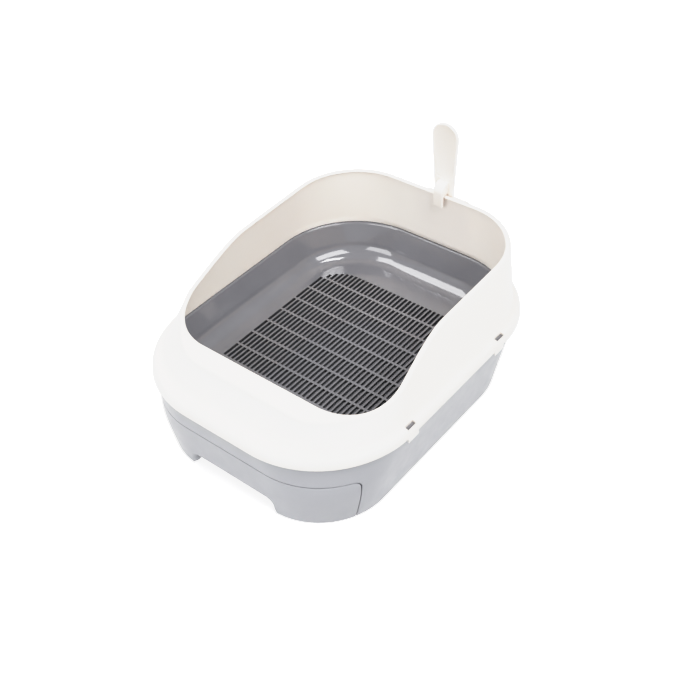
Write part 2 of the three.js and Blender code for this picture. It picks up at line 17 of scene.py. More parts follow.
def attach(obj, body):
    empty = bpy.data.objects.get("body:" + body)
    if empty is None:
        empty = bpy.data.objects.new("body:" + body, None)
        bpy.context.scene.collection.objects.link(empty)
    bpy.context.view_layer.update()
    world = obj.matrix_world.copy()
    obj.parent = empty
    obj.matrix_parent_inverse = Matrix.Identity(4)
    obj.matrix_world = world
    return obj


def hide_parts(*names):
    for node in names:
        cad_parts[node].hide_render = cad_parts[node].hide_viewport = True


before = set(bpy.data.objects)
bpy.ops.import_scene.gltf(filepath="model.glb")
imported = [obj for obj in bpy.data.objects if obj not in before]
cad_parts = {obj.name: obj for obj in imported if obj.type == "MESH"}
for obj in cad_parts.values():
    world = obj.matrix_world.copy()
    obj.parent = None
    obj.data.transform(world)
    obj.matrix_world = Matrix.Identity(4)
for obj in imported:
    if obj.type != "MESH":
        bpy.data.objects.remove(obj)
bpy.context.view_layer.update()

MM = 0.001  # metres

# ---- driving dimensions

Plan = namedtuple("Plan", "half_width front back front_radius back_radius z")

GAP = 0.4  # play between pieces that fit together
SEAM = 1.5  # gap round the drawer's front; 0.7 in the CAD model
PAST = 20  # how far a cutting solid runs past what it cuts

SKIRT = Plan(205, -255.5, 250, 147, 136, 116)

BASE_LEVELS = [
    Plan(176.5, -240.5, 222, 106, 116, 0.8),
    Plan(180, -242, 225.6, 105, 118.2, 20),
    Plan(187.5, -245.2, 233.5, 110, 122.9, 60),
    Plan(194.1, -247.4, 240.1, 129, 126.9, 95),
    Plan(199.6, -248.8, 246, 143, 130.5, 124),
]
BASE_FOOT_Z = 0.8
BASE_TOP_Z = 123.5  # 124 in the CAD model; lower here, so that the wall stays clear of the flange
BASE_WALL = 3
DECK_Z = 12
DECK_THICKNESS = 3
DECK_FRONT = -204
TONGUE_HALF_WIDTH = 136
GUIDE_X = 154
GUIDE_WIDTH = 2.5
GUIDE_HEIGHT = 8
GUIDE_FRONT = -170
GUIDE_BACK = 150

PANEL_SIDE_Y = -182
PANEL_TOP_Z = 78.5
PANEL_CORNER = 10
PANEL_WALL = 3
WALL_EDGE = 0.5  # bevel on the edges of the base and the drawer's front
TRAY_TOP_Z = 62
TRAY = Plan(150, -219, 204, 84, 84, TRAY_TOP_Z)
TRAY_WALL = 2.4
TRAY_FLOOR = 2.6
ARCH_HALF_WIDTH = 71
ARCH_HEIGHT = 22
ARCH_RADIUS = 9
ARCH_FOOT_RADIUS = 7  # 4 in the CAD model
ARCH_FILLET = 6  # how far the panel's outside rolls into the arch, which the CAD model leaves out
WEB_X = 112
WEB_THICKNESS = 2.6
WEB_FOOT = 26
WEB_TOP = 58

PAN_RIM_Z = 126.8
PAN_RIM = Plan(190.5, -235.5, 235.8, 115, 130, PAN_RIM_Z)
FLANGE = Plan(198.8, -248.2, 244.4, 140.4, 129.6, PAN_RIM_Z)
FLANGE_THICKNESS = 2.4
SIEVE_Z = 74
SIEVE_DEPTH = 6
SLOT_PITCH = 7.5
SLOT_WIDTH = 5
SLOT_COLUMNS = 37
SLOT_ROWS = 9
SLOT_EDGE = 0.08  # rounding of the slots' upper edges
SLOT_DRAFT = 0.7  # how much further each wall of a slot lies back at its foot; none in the CAD model
ROW_PITCH = 32.6
CROSSBAR = 3.6
SIEVE_BACK = 152.8
SIEVE_CORNER = 52
SHORTEST_SLOT = 6
SLOT_CORNER = 0.7

# The pan's inside from the rim to the floor, and its outside from the sieve's underside to the
# flange: how far in from the rim, and the height.
PAN_INSIDE = [
    (0, PAN_RIM_Z),
    (1.7, PAN_RIM_Z - 2.2),
    (12.5, 98),
    (16, 89.5),
    (22, 82),
    (30.5, 76.6),
    (40.5, SIEVE_Z + 0.3),
    (44.5, SIEVE_Z),
]
PAN_OUTSIDE = [
    (47, SIEVE_Z - SIEVE_DEPTH),
    (45.5, 69.6),
    (39, 71.9),
    (29.3, 74.1),
    (20, 79.8),
    (13.4, 88.2),
    (9.7, 97.4),
    (-0.8, PAN_RIM_Z - FLANGE_THICKNESS),
]

EDGE_FRONT_Z = 158
EDGE_SIDE_Z = 219.5
EDGE_BACK_Z = 227
EDGE = Plan(169.5, -169, 225.5, 76, 95, EDGE_BACK_Z)
RISE_START_Y = -172
RISE_END_Y = 6
EDGE_LEAN = 0.158  # how much wider the edge gets for each millimetre that it is lower
LIP_WIDTH = 7.5
STEP_WIDTH = 23  # extra width of the front landing
STEP_FLAT_X = 80
STEP_END_X = 150
STEP_FALL = 0.2
TAB_Y = (-105, 98)
TAB_LENGTH = 22
TAB_DROP = 6.5
TAB_THICKNESS = 2.2
WINDOW_Y = (-104.5, 104.5)
WINDOW_LENGTH = 17.5
WINDOW_WIDTH = 6
WINDOW_X = 198.8
WINDOW_HEIGHT = 17

# Outside of the skirt, shoulder and wall foot, from the bottom up, and the matching inside, from the
# top down.
SHOULDER = [
    SKIRT,
    Plan(204.4, -254.9, 249.4, 146.4, 135.4, 123.6),
    Plan(203.2, -253.4, 248.2, 145.1, 134.1, 127.4),
    Plan(201, -250.4, 246, 142.6, 131.8, 129.8),
    Plan(196.6, -232.4, 241, 126.5, 126.5, 130.8),
    Plan(194.2, -227, 238.4, 123, 123, 133),
    Plan(192.6, -222.5, 236.4, 120, 120, 137.5),
]
SHOULDER_INSIDE = [
    Plan(190, -220.5, 233.8, 117.5, 120, 136.2),
    Plan(190.6, -224.5, 236, 119, 126, 131),
    Plan(191.4, -231, 238, 122, 132, PAN_RIM_Z + GAP),
    Plan(200.2, -250, 245.2, 141.6, 131, PAN_RIM_Z + GAP),
    Plan(201.2, -251.8, 246.2, 142.9, 132.1, 125.9),
    Plan(201.9, -252.5, 246.9, 143.9, 132.9, 122.8),
    Plan(202.4, -252.9, 247.4, 144.4, 133.4, 116),
]

# Section of the wall's top: distance and drop of each line. A negative distance is counted back from
# the outside, a positive one out from the free edge.
AT_OUTSIDE = -1e-6
EDGE_SECTION = [
    (AT_OUTSIDE, 4),
    (-0.9, 1.3),
    (-3.2, 0),
    (1.6, 0),
    (0.2, 1.3),
    (0.6, 3.2),
    (-2.9, 4),
]

SCOOP_X = 15
HANDLE_Y = 237
HANDLE_THICKNESS = 4
HANDLE_TOP_Z = 340
HANDLE_TOP_RADIUS = 21.5
HANDLE_FOOT_HALF_WIDTH = 16
HANDLE_FOOT_Z = 216
HANDLE_STRAIGHT_Z = 230
DISH_RIM = 2.4
DISH_FOOT_Z = 252
DISH_DEPTH = 0.9  # 1.4 in the CAD model
HOOK_HALF_WIDTH = 8
HOOK_INNER_Y = 219.6
HOOK_LEG_THICKNESS = 4.4
HOOK_LEG_FOOT_Z = 210
HOOK_BEND_Z = 232
BOWL_WALL = 2.2
BOWL_SLOT_COUNT = 7
BOWL_SLOT_PITCH = 10.4
BOWL_SLOT_WIDTH = 5
BOWL_SLOT_FOOT_Z = 136
BOWL_SLOT_TOP_Z = 188
BOWL_SIDE_TOP = 190
BOWL_SHOULDER = 18
BOWL_TIP = 12
BOWL_CUT_Z = 150  # where the sides' falling edge nears the back
BOWL_CUT_FOOT_Z = 108  # below the bowl
BOWL_CUT_HALF_WIDTH = 60  # wider than the bowl

# The bowl's outside from its back to its open front.
BowlLevel = namedtuple("BowlLevel", "y top_z bottom_z half_width tip_half_width")
BOWL_LEVELS = [
    BowlLevel(262, 192, 124, 37, 33),
    BowlLevel(260.4, 200, 118, 42, 37),
    BowlLevel(254, 210, 114, 45.5, 40.5),
    BowlLevel(235, 221, 112, 49, 43),
]

PAD_RADIUS = 9
PAD_THICKNESS = 1.6
PAD_BOSS_RADIUS = 11
PAD_PLACES = {
    "anti_slip_pad_front_left": (-128, -150),
    "anti_slip_pad_front_right": (128, -150),
    "anti_slip_pad_rear_left": (-128, 146),
    "anti_slip_pad_rear_right": (128, 146),
}

# ---- outlines


def grown(plan, distance, z):
    """The plan grown outwards by a distance and moved to another height."""
    return Plan(
        plan.half_width + distance,
        plan.front - distance,
        plan.back + distance,
        plan.front_radius + distance,
        plan.back_radius + distance,
        z,
    )


def outline(plan, arc=28, side=44, end=16):
    """Stations round the plan, counter-clockwise from the front end of its right side, and their
    outward normals. Every plan gives matching stations for the same numbers of steps."""
    back = (plan.half_width - plan.back_radius, plan.back - plan.back_radius, plan.back_radius)
    front = (plan.half_width - plan.front_radius, plan.front + plan.front_radius, plan.front_radius)
    corners = [
        (back[0], back[1], back[2], 0, end),
        (-back[0], back[1], back[2], 90, side),
        (-front[0], front[1], front[2], 180, end),
        (front[0], front[1], front[2], 270, side),
    ]
    points = []
    normals = []
    for index, (cx, cy, radius, start, run) in enumerate(corners):
        following = corners[(index + 1) % 4]
        for step in range(arc + 1):
            angle = math.radians(start + 90 * step / arc)
            normal = np.array([math.cos(angle), math.sin(angle)])
            points.append(np.array([cx, cy]) + radius * normal)
            normals.append(normal)
        here = points[-1]
        there = np.array(following[:2]) + following[2] * normals[-1]
        for step in range(1, run):
            points.append(here + (there - here) * step / run)
            normals.append(normals[-1])
    return np.array(points), np.array(normals)


def ring(plan, **steps):
    points, _ = outline(plan, **steps)
    return np.column_stack([points, np.full(len(points), plan.z)])


def arc_points(cx, cy, radius, start, end, steps):
    angles = np.radians(np.linspace(start, end, steps + 1))
    return [(cx + radius * math.cos(a), cy + radius * math.sin(a)) for a in angles]


def through(value, places, values):
    """Smooth curve through values at places, read at one value."""
    slopes = np.gradient(values, places)
    index = int(np.clip(np.searchsorted(places, value) - 1, 0, len(places) - 2))
    span = places[index + 1] - places[index]
    t = (value - places[index]) / span
    return (
        (2 * t**3 - 3 * t**2 + 1) * values[index]
        + (t**3 - 2 * t**2 + t) * span * slopes[index]
        + (3 * t**2 - 2 * t**3) * values[index + 1]
        + (t**3 - t**2) * span * slopes[index + 1]
    )


def rounded(lines, radius, steps=4):
    """Rounds every corner of a closed section. lines holds one array of stations for each corner."""
    result = []
    count = len(lines)
    for index in range(count):
        here = lines[index]
        sides = []
        for other in (lines[index - 1], lines[(index + 1) % count]):
            length = np.linalg.norm(other - here, axis=1)
            share = np.minimum(0.48, radius / length)
            sides.append(here + (other - here) * share[:, None])
        for t in np.linspace(0, 1, steps + 1):
            result.append((1 - t) ** 2 * sides[0] + 2 * t * (1 - t) * here + t**2 * sides[1])
    return result


# ---- meshes


def make_mesh(name, points, faces):
    mesh = bpy.data.meshes.new(name)
    mesh.from_pydata([tuple(v) for v in np.asarray(points) * MM], [], faces)
    mesh.validate()
    return mesh


def loft_faces(levels, count, closed):
    """Quads between each ring of stations and the next."""
    faces = []
    for level in range(levels if closed else levels - 1):
        low = level * count
        high = ((level + 1) % levels) * count
        for station in range(count):
            following = (station + 1) % count
            faces.append((low + station, low + following, high + following, high + station))
    return faces


def lofted(name, rings, closed=False, caps=False):
    count = len(rings[0])
    faces = loft_faces(len(rings), count, closed)
    if caps:
        faces.append(tuple(reversed(range(count))))
        faces.append(tuple(range((len(rings) - 1) * count, len(rings) * count)))
    return make_mesh(name, np.concatenate(rings), faces)


def prism(name, outline_points, axis, start, end):
    """A flat outline pushed along one axis. The outline lies in the other two, in their order."""
    count = len(outline_points)
    points = []
    for place in (start, end):
        for a, b in outline_points:
            points.append({"x": (place, a, b), "y": (a, place, b), "z": (a, b, place)}[axis])
    faces = loft_faces(2, count, closed=False)
    faces.append(tuple(reversed(range(count))))
    faces.append(tuple(range(count, 2 * count)))
    mesh = make_mesh(name, points, faces)
    outwards(mesh)
    return mesh


def rounded_rectangle(low, high, radius, steps=5):
    """Corner points of a rectangle with round corners, counter-clockwise."""
    return (
        arc_points(high[0] - radius, low[1] + radius, radius, -90, 0, steps)
        + arc_points(high[0] - radius, high[1] - radius, radius, 0, 90, steps)
        + arc_points(low[0] + radius, high[1] - radius, radius, 90, 180, steps)
        + arc_points(low[0] + radius, low[1] + radius, radius, 180, 270, steps)
    )


def joined(name, meshes):
    """One mesh of several, which may touch or not."""
    bm = bmesh.new()
    for mesh in meshes:
        bm.from_mesh(mesh)
    mesh = bpy.data.meshes.new(name)
    bm.to_mesh(mesh)
    bm.free()
    return mesh


def outwards(mesh, merge=None):
    bm = bmesh.new()
    bm.from_mesh(mesh)
    if merge:
        bmesh.ops.remove_doubles(bm, verts=bm.verts, dist=merge * MM)
    bmesh.ops.recalc_face_normals(bm, faces=bm.faces)
    bm.to_mesh(mesh)
    bm.free()


def finished(obj):
    """Applies the object's modifiers to its mesh."""
    bpy.context.view_layer.update()
    evaluated = obj.evaluated_get(bpy.context.evaluated_depsgraph_get())
    mesh = bpy.data.meshes.new_from_object(evaluated)
    obj.modifiers.clear()
    obj.data = mesh


def placed(name, mesh, offset=(0, 0, 0)):
    obj = bpy.data.objects.new(name, mesh)
    bpy.context.scene.collection.objects.link(obj)
    mesh.transform(Matrix.Translation(Vector(offset) * MM))
    return obj


def combined(obj, mesh, operation):
    """Exact boolean of the object with another mesh."""
    other = placed("tool", mesh)
    modifier = obj.modifiers.new("boolean", "BOOLEAN")
    modifier.object = other
    modifier.operation = operation
    modifier.solver = "EXACT"
    modifier.use_self = False
    finished(obj)
    bpy.data.objects.remove(other)


def bevelled(obj, width, segments=2, angle=40):
    modifier = obj.modifiers.new("edges", "BEVEL")
    modifier.width = width * MM
    modifier.segments = segments
    modifier.limit_method = "ANGLE"
    modifier.angle_limit = math.radians(angle)
    modifier.use_clamp_overlap = True
    finished(obj)


def smooth(obj, angle=32):
    """Smooth shading, except across edges sharper than the angle."""
    bm = bmesh.new()
    bm.from_mesh(obj.data)
    for face in bm.faces:
        face.smooth = True
    for edge in bm.edges:
        edge.smooth = len(edge.link_faces) == 2 and edge.calc_face_angle(0) < math.radians(angle)
    bm.to_mesh(obj.data)
    bm.free()


def dress(obj, material, slot, body, *nodes):
    obj.data.materials.clear()
    obj.data.materials.append(material)
    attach(obj, body)
    if nodes:
        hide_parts(*nodes)


# ---- materials


def principled(name, roughness, specular=0.5, coat=0.0, coat_roughness=0.1):
    material = bpy.data.materials.new(name)
    material.use_nodes = True
    shader = material.node_tree.nodes["Principled BSDF"]
    shader.inputs["Roughness"].default_value = roughness
    shader.inputs["Specular IOR Level"].default_value = specular
    shader.inputs["Coat Weight"].default_value = coat
    shader.inputs["Coat Roughness"].default_value = coat_roughness
    return material, shader


def noise(tree, scale, detail=3.0):
    """Noise over the object's own coordinates, with the scale in features per metre."""
    place = tree.nodes.new("ShaderNodeTexCoord")
    texture = tree.nodes.new("ShaderNodeTexNoise")
    texture.inputs["Scale"].default_value = scale
    texture.inputs["Detail"].default_value = detail
    texture.inputs["Roughness"].default_value = 0.55
    tree.links.new(place.outputs["Object"], texture.inputs["Vector"])
    return texture.outputs["Fac"]


def remapped(tree, value, low, high):
    node = tree.nodes.new("ShaderNodeMapRange")
    node.inputs["From Min"].default_value = 0.3
    node.inputs["From Max"].default_value = 0.7
    node.inputs["To Min"].default_value = low
    node.inputs["To Max"].default_value = high
    tree.links.new(value, node.inputs["Value"])
    return node.outputs["Result"]


def tinted(tree, value, dark, light):
    """A colour between two near ones, chosen by a value."""
    node = tree.nodes.new("ShaderNodeMix")
    node.data_type = "RGBA"
    node.inputs["A"].default_value = (*dark, 1)
    node.inputs["B"].default_value = (*light, 1)
    tree.links.new(remapped(tree, value, 0, 1), node.inputs["Factor"])
    return node.outputs["Result"]


def bumped(tree, shader, layers):
    """Stacked bumps: (height, distance in millimetres, strength)."""
    previous = None
    for height, distance, strength in layers:
        node = tree.nodes.new("ShaderNodeBump")
        node.inputs["Distance"].default_value = distance * MM
        node.inputs["Strength"].default_value = strength
        tree.links.new(height, node.inputs["Height"])
        if previous:
            tree.links.new(previous, node.inputs["Normal"])
        previous = node.outputs["Normal"]
    tree.links.new(previous, shader.inputs["Normal"])


def moulding(name, shine, tone, colours, wear, roughness, bumps):
    """A material whose colour and roughness wander a little over noise, with stacked bumps.

    tone, wear and the first entry of each bump say which noise: its scale and, where given, its detail."""
    material, shader = principled(name, *shine)
    tree = material.node_tree
    colour = tinted(tree, noise(tree, *tone), *colours)
    tree.links.new(colour, shader.inputs["Base Color"])
    tree.links.new(remapped(tree, noise(tree, *wear), *roughness), shader.inputs["Roughness"])
    layers = [(noise(tree, *grain), distance, strength) for grain, distance, strength in bumps]
    bumped(tree, shader, layers)
    return material, shader


def white_plastic():
    """Satin polypropylene: warm white, very fine spark-eroded grain, faint cooling waviness."""
    material, shader = moulding(
        "white_plastic",
        shine=(0.36, 0.4),
        tone=(7, 2),
        colours=((0.95, 0.852, 0.792), (0.965, 0.872, 0.815)),
        wear=(40,),
        roughness=(0.3, 0.42),
        bumps=[((1600,), 0.05, 0.35), ((18, 1), 0.5, 0.12)],
    )
    shader.inputs["Subsurface Weight"].default_value = 1.0
    shader.inputs["Subsurface Scale"].default_value = 0.003
    shader.inputs["Subsurface Radius"].default_value = (1.0, 1.0, 1.0)
    return material


def silver_grey_plastic():
    """Satin polypropylene: light silver grey with a fine matt grain."""
    return moulding(
        "silver_grey_plastic",
        shine=(0.4, 0.4),
        tone=(9, 2),
        colours=((0.342, 0.348, 0.374), (0.36, 0.366, 0.393)),
        wear=(60,),
        roughness=(0.36, 0.48),
        bumps=[((1300,), 0.06, 0.45), ((22, 1), 0.5, 0.1)],
    )[0]


def glossy_grey_plastic():
    """Polished non-stick moulding: mid grey, mirror-like with slight flow waviness and fine rubs."""
    return moulding(
        "glossy_grey_plastic",
        shine=(0.15, 0.6, 0.8, 0.02),
        tone=(12, 2),
        colours=((0.172, 0.174, 0.192), (0.191, 0.193, 0.212)),
        wear=(90, 5),
        roughness=(0.06, 0.14),
        bumps=[((900,), 0.03, 0.2), ((14, 1), 0.4, 0.1)],
    )[0]


def slot_painted_shade():
    """The slots' walls: the pan's plastic painted dark and matt between the shiny ribs, as painted shade
    that stands in for the shade deep in the slots.
    """
    return moulding(
        "slot_painted_shade",
        shine=(0.6, 0.2),
        tone=(150,),
        # painted shade: near-black colours stand in for the shade deep in the slots
        colours=((0.042, 0.042, 0.046), (0.06, 0.06, 0.065)),
        wear=(400,),
        roughness=(0.5, 0.7),
        bumps=[((1200,), 0.05, 0.4)],
    )[0]


def grey_rubber():
    """Matt rubber: dark grey, dusty, with a coarse grain."""
    return moulding(
        "grey_rubber",
        shine=(0.85, 0.3),
        tone=(200,),
        colours=((0.06, 0.062, 0.068), (0.09, 0.093, 0.1)),
        wear=(300,),
        roughness=(0.78, 0.92),
        bumps=[((1500,), 0.08, 0.6)],
    )[0]


WHITE = white_plastic()
SILVER_GREY = silver_grey_plastic()
GLOSSY_GREY = glossy_grey_plastic()
SLOT_PAINTED_SHADE = slot_painted_shade()
RUBBER = grey_rubber()

# ---- base and drawer front


def base_plan(z, inset=0.0):
    """The base's outside at a height: a smooth curve through the levels, moved in by the inset."""
    heights = [level.z for level in BASE_LEVELS]
    values = [through(z, heights, [level[key] for level in BASE_LEVELS]) for key in range(5)]
    return grown(Plan(*values, z), -inset, z)


def ray_points(z, centre, angles):
    """Where rays from a centre meet the base's outline at a height."""
    points, _ = outline(base_plan(z), arc=90, side=8, end=8)
    seen = points - np.array(centre)
    bearing = np.degrees(np.arctan2(seen[:, 1], seen[:, 0]))
    order = np.argsort(bearing)
    bearing = bearing[order]
    bearing = np.concatenate([bearing[-1:] - 360, bearing, bearing[:1] + 360])
    x = np.concatenate([points[order[-1:], 0], points[order, 0], points[order[:1], 0]])
    y = np.concatenate([points[order[-1:], 1], points[order, 1], points[order[:1], 1]])
    return np.column_stack([np.interp(angles, bearing, x), np.interp(angles, bearing, y)])


def side_x(y, z):
    """The base's half width at a place on its side."""
    plan = base_plan(z)
    radius = plan.front_radius
    beyond = max(0.0, plan.front + radius - y)
    return plan.half_width - radius + math.sqrt(radius**2 - beyond**2)


def front_y(x, z, inset=0.0):
    """How far forward the base's front reaches at a distance from the middle."""
    plan = base_plan(z, inset)
    radius = plan.front_radius
    beyond = max(0.0, abs(x) - (plan.half_width - radius))
    return plan.front + radius - math.sqrt(radius**2 - beyond**2)


def grid(block):
    """Points and quads of a block: a list of columns with the same number of points each."""
    rows = len(block[0])
    points = np.concatenate(block)
    faces = []
    for column in range(len(block) - 1):
        for row in range(rows - 1):
            low = column * rows + row
            faces.append((low, low + rows, low + rows + 1, low + 1))
    return points, faces


def mirrored(block):
    return [column * np.array([-1, 1, 1]) for column in block]


def sheet(name, blocks):
    """One mesh of several blocks whose edges meet."""
    points = []
    faces = []
    offset = 0
    for block in blocks:
        block_points, block_faces = grid(block)
        points.append(block_points)
        faces += [tuple(index + offset for index in face) for face in block_faces]
        offset += len(block_points)
    mesh = make_mesh(name, np.concatenate(points), faces)
    outwards(mesh, merge=0.02)
    return mesh


# Columns of the right front corner: round the drawer front's top corner, then by rays from one
# centre as far as the arch, then straight across.
CORNER_STEPS = 8
RAY_STEPS = 26
ACROSS_COLUMNS = 23
REAR_COLUMNS = 141
WALL_ROWS = 17
BEARINGS = np.linspace(0, 180, 721)
RAY_X = ARCH_HALF_WIDTH + ARCH_FILLET
CORNER_Z = PANEL_TOP_Z - PANEL_CORNER
CORNER_Y = PANEL_SIDE_Y - PANEL_CORNER


def corner_columns(side_y, top_z):
    """For each column round the corner: its place along the side, and the corner's height there."""
    radius = side_y - CORNER_Y
    angles = np.radians(np.linspace(0, 90, CORNER_STEPS + 1))
    return [(CORNER_Y + radius * math.cos(a), CORNER_Z + (top_z - CORNER_Z) * math.sin(a)) for a in angles]


def column_by_side(y, heights):
    return np.array([(side_x(y, z), y, z) for z in heights])


def column_by_ray(angle, heights):
    centre = (RAY_X, CORNER_Y)
    return np.array([(*ray_points(z, centre, [angle])[0], z) for z in heights])


def column_by_x(x, heights):
    return np.array([(x, front_y(x, z), z) for z in heights])


def rear_columns(heights, side_y):
    """Evenly spaced columns round the sides and back, from one end of the drawer's mouth to the other."""
    centre = (0, side_y)
    middle = ray_points(CORNER_Z, centre, BEARINGS)
    lengths = np.concatenate([[0], np.cumsum(np.linalg.norm(np.diff(middle, axis=0), axis=1))])
    even = np.interp(np.linspace(0, lengths[-1], REAR_COLUMNS), lengths, BEARINGS)
    levels = [ray_points(z, centre, even) for z in heights]
    columns = []
    for index in range(REAR_COLUMNS):
        columns.append(np.array([(*level[index], z) for level, z in zip(levels, heights)]))
    return columns


def base_wall():
    """The base's wall: one block round the sides and back, one over the drawer's mouth."""
    side_y = PANEL_SIDE_Y + SEAM
    top_z = PANEL_TOP_Z + SEAM
    upper = np.linspace(CORNER_Z, BASE_TOP_Z, WALL_ROWS)
    lower = np.linspace(BASE_FOOT_Z, CORNER_Z, WALL_ROWS)
    rear = rear_columns(np.concatenate([lower, upper[1:]]), side_y)
    corner = []
    for y, low in corner_columns(side_y, top_z):
        corner.append(column_by_side(y, np.linspace(low, BASE_TOP_Z, WALL_ROWS)))
    rear[0] = np.concatenate([column_by_side(side_y, lower), corner[0][1:]])
    rear[-1] = rear[0] * np.array([-1, 1, 1])
    over_mouth = np.linspace(top_z, BASE_TOP_Z, WALL_ROWS)
    rays = [column_by_ray(angle, over_mouth) for angle in np.linspace(0, -90, RAY_STEPS + 1)[1:]]
    right = corner + rays
    across = [column_by_x(x, over_mouth) for x in np.linspace(RAY_X, -RAY_X, ACROSS_COLUMNS)]
    mesh = sheet("base_wall", [rear, right, across, mirrored(right)])
    obj = placed("base_shell_wall", mesh)
    thicken(obj, BASE_WALL)
    bevelled(obj, WALL_EDGE)
    smooth(obj)
    return obj


def thicken(obj, wall):
    modifier = obj.modifiers.new("wall", "SOLIDIFY")
    modifier.thickness = wall * MM
    modifier.offset = -1
    modifier.use_even_offset = True
    finished(obj)


def drawer_panel():
    """The wrap-round front, rolled into the finger arch and on as the arch's lip to the tray."""
    grown_radius = ARCH_RADIUS + ARCH_FILLET
    spring_z = ARCH_HEIGHT - ARCH_RADIUS
    arch_x = ARCH_HALF_WIDTH - ARCH_RADIUS
    lower_rows = np.linspace(0, 1, 9)
    upper_rows = np.linspace(0, 1, 21)

    def heights(low, top):
        below = low + (spring_z - low) * lower_rows
        return np.concatenate([below, spring_z + (top - spring_z) * upper_rows[1:]])

    wing = []
    for y, top in corner_columns(PANEL_SIDE_Y, PANEL_TOP_Z):
        wing.append(column_by_side(y, heights(BASE_FOOT_Z, top)))
    wing_heights = heights(BASE_FOOT_Z, PANEL_TOP_Z)
    for angle in np.linspace(0, -90, RAY_STEPS + 1)[1:-1]:
        wing.append(column_by_ray(angle, wing_heights))
    wing.append(column_by_x(RAY_X, wing_heights))
    over_arch = []
    crown = arc_points(arch_x, spring_z, grown_radius, 0, 90, 10)
    crown += [(x, spring_z + grown_radius) for x in np.linspace(arch_x, 0, 10)[1:]]
    for x, z in crown:
        over_arch.append(column_by_x(x, z + (PANEL_TOP_Z - z) * upper_rows))

    edge = [wing[-1][row] for row in range(len(lower_rows))]
    edge += [column[0] for column in over_arch[1:]]
    roll = [arch_roll(point, arch_x, spring_z) for point in edge]
    blocks = [wing, over_arch, roll]
    mesh = sheet("drawer_panel", blocks + [mirrored(block) for block in blocks])
    obj = placed("drawer_front", mesh)
    thicken(obj, PANEL_WALL)
    bevelled(obj, WALL_EDGE)
    smooth(obj)
    return obj


def arch_roll(point, arch_x, spring_z):
    """From a point on the edge of the panel's outside, round into the arch and back to the tray."""
    x, _, z = point
    foot = np.array([ARCH_HALF_WIDTH + ARCH_FOOT_RADIUS, BASE_FOOT_Z + ARCH_FOOT_RADIUS])
    radius = ARCH_FILLET
    if z < foot[1]:
        toward = np.array([x, z]) - foot
        radius = max(0.05, ARCH_FOOT_RADIUS - np.linalg.norm(toward))
    elif z <= spring_z:
        toward = np.array([-1.0, 0.0])
    elif x > arch_x:
        toward = np.array([arch_x - x, spring_z - z])
    else:
        toward = np.array([0.0, -1.0])
    toward = toward / np.linalg.norm(toward)
    column = []
    for angle in np.radians(np.linspace(0, 90, 7)):
        across = radius * math.sin(angle) * toward
        into = radius * (1 - math.cos(angle))
        column.append((x + across[0], point[1] + into, z + across[1]))
    last = column[-1]
    for y in np.linspace(last[1], TRAY.front + TRAY_WALL / 2, 5)[1:]:
        column.append((last[0], y, last[2]))
    return np.array(column)


def rounded_box(low, high, radius=0.5):
    """A box with bevelled edges, as a mesh."""
    corners = [(low[0], low[1]), (high[0], low[1]), (high[0], high[1]), (low[0], high[1])]
    obj = placed("box", prism("box", corners, "z", low[2], high[2]))
    bevelled(obj, radius)
    mesh = obj.data
    bpy.data.objects.remove(obj)
    return mesh


def base_inside():
    """The raised floor with its tongue, the guides of the drawer, and the bosses of the pads."""
    inner, _ = outline(base_plan(DECK_Z, BASE_WALL - 0.3), arc=24, side=24, end=12)
    mouth = PANEL_SIDE_Y + SEAM
    behind = [tuple(point) for point in inner if point[1] > mouth]
    steps = [math.dist(here, there) for here, there in zip(behind, behind[1:] + behind[:1])]
    split = steps.index(max(steps)) + 1
    behind = behind[split:] + behind[:split]
    tongue = [
        (-TONGUE_HALF_WIDTH, mouth),
        (-TONGUE_HALF_WIDTH, DECK_FRONT),
        (TONGUE_HALF_WIDTH, DECK_FRONT),
        (TONGUE_HALF_WIDTH, mouth),
    ]
    deck = placed("deck", prism("deck", behind + tongue, "z", DECK_Z - DECK_THICKNESS, DECK_Z))
    bevelled(deck, WALL_EDGE)
    pieces = [deck.data]
    bpy.data.objects.remove(deck)
    for side in (-1, 1):
        edges = sorted((side * GUIDE_X, side * (GUIDE_X + GUIDE_WIDTH)))
        low = (edges[0], GUIDE_FRONT, DECK_Z - 0.5)
        pieces.append(rounded_box(low, (edges[1], GUIDE_BACK, DECK_Z + GUIDE_HEIGHT)))
    for x, y in PAD_PLACES.values():
        round_boss = arc_points(x, y, PAD_BOSS_RADIUS, 0, 360, 48)[:-1]
        pieces.append(prism("boss", round_boss, "z", PAD_THICKNESS + GAP, DECK_Z - 0.5))
    obj = placed("base_shell_floor", joined("base_shell_floor", pieces))
    smooth(obj)
    return obj


def drawer_tray():
    foot_z = DECK_Z + GAP
    floor_z = foot_z + TRAY_FLOOR
    steps = dict(arc=20, side=10, end=6)
    section = [
        (-TRAY_WALL - 7, floor_z),
        (-TRAY_WALL - 0.6, floor_z + 5),
        (-TRAY_WALL, TRAY_TOP_Z - 2),
        (-TRAY_WALL, TRAY_TOP_Z),
        (0, TRAY_TOP_Z),
        (0, TRAY_TOP_Z - 2),
        (0, foot_z + 4),
        (-4, foot_z),
    ]
    rings = [ring(grown(TRAY, distance, z), **steps) for distance, z in section]
    lines = rounded(rings, 1.1)
    first = ring(grown(TRAY, -TRAY_WALL - 40, floor_z), **steps)
    last = ring(grown(TRAY, -44, foot_z), **steps)
    mesh = lofted("drawer_tray", [last] + list(reversed(lines)) + [first], caps=True)
    outwards(mesh)
    obj = placed("drawer_tray", mesh)
    smooth(obj)
    return obj


